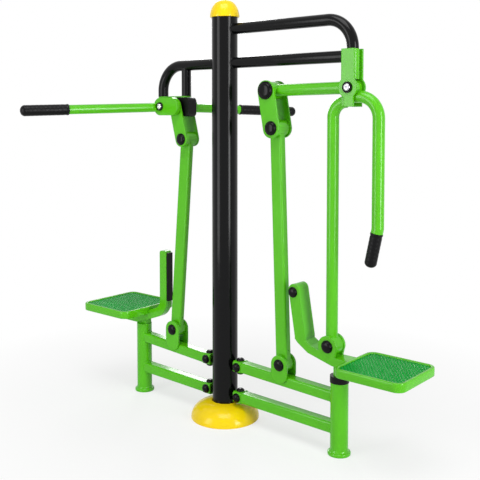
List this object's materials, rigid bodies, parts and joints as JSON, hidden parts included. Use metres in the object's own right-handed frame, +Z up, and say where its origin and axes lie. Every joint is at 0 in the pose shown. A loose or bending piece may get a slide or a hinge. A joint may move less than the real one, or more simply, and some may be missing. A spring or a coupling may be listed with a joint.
{
  "type": "outdoor chest press machine",
  "caption": "Outdoor chest press machine: a floor post with rails to two cantilevered seats, a press lever with a grip on one side and a swinging bar on the other, both linked to long rods.",
  "frame": {"origin": "centre of the post on the floor, at the base plate's underside", "axes": "+Z up; +X along the floor rails from the post to the seat with the press lever; +Y completes the right-handed frame, across the rails"},
  "size_m": [1.772, 1.3298, 1.873],
  "materials": {
    "green_paint": "gloss",
    "black_paint": "satin",
    "yellow_plastic": "gloss",
    "bolt_steel": "satin",
    "mat_rubber": "matt",
    "grip_rubber": "matt"
  },
  "bodies": {
    "frame": {"post": "black_paint", "post_cap": "yellow_plastic", "base_cover": "yellow_plastic", "base_plate": "bolt_steel", "arm_upper_right": "black_paint", "arm_lower_right": "black_paint", "arm_left": "black_paint", "strut_left": "black_paint", "hanger_bracket": "green_paint", "head_left": "green_paint", "rail_stubs": "black_paint", "rail_collars": "green_paint", "rail_bolts": "bolt_steel", "rail_upper_right": "green_paint", "rail_lower_right": "green_paint", "rail_upper_left": "green_paint", "rail_lower_left": "green_paint", "seat_post_right": "green_paint", "seat_post_left": "green_paint", "foot_flanges": "green_paint", "seat_ring": "black_paint", "seat_arm_right": "green_paint", "seat_arm_left": "green_paint", "seat_frame_right": "green_paint", "seat_frame_left": "green_paint", "seat_mat_right": "mat_rubber", "seat_mat_left": "mat_rubber", "clevis_right": "green_paint", "clevis_left": "green_paint", "stay": "green_paint", "main_pin": "bolt_steel", "foot_pin_right": "bolt_steel", "foot_pin_left": "bolt_steel", "arm_bolts": "bolt_steel", "buffer": "grip_rubber"},
    "press": {"press_lever": "green_paint", "lever_pin": "bolt_steel", "press_grip": "grip_rubber"},
    "link_right": {"link_plates_right": "green_paint", "link_caps_right": "bolt_steel"},
    "rod_right_body": {"rod_right": "green_paint"},
    "bar": {"rocker": "green_paint", "rocker_pin": "bolt_steel", "rocker_end_pin": "bolt_steel", "rubber_block": "grip_rubber", "bar_grips": "grip_rubber"},
    "link_left": {"link_plates_left": "green_paint", "link_caps_left": "bolt_steel"},
    "rod_left_body": {"rod_left": "green_paint"}
  },
  "joints": [
    {"name": "press_swing", "type": "hinge", "parent": "frame", "child": "press", "pos_m": [0.66, 0, 1.472], "axis": [0, -1, 0], "range_deg": [0, 7]},
    {"name": "link_right_swing", "type": "hinge", "parent": "press", "child": "link_right", "pos_m": [0.266, 0, 1.468], "axis": [0, -1, 0], "range_deg": [0, 28.96]},
    {"name": "rod_right_swing", "type": "hinge", "parent": "frame", "child": "rod_right_body", "pos_m": [0.331, 0, 0.311], "axis": [0, 1, 0], "range_deg": [0, 5.2]},
    {"name": "bar_swing", "type": "hinge", "parent": "frame", "child": "bar", "pos_m": [-0.343, 0, 1.405], "axis": [0, 1, 0], "range_deg": [0, 15]},
    {"name": "link_left_swing", "type": "hinge", "parent": "bar", "child": "link_left", "pos_m": [-0.271, 0, 1.405], "axis": [0, -1, 0], "range_deg": [0, 29.91]},
    {"name": "rod_left_swing", "type": "hinge", "parent": "frame", "child": "rod_left_body", "pos_m": [-0.305, 0, 0.349], "axis": [0, 1, 0], "range_deg": [0, 2.23]}
  ],
  "couplings": [
    {"joint": "link_right_swing", "follows": "press_swing", "ratio": 4.1371},
    {"joint": "rod_right_swing", "follows": "press_swing", "ratio": 0.74275},
    {"joint": "link_left_swing", "follows": "bar_swing", "ratio": 1.994},
    {"joint": "rod_left_swing", "follows": "bar_swing", "ratio": 0.14835}
  ]
}
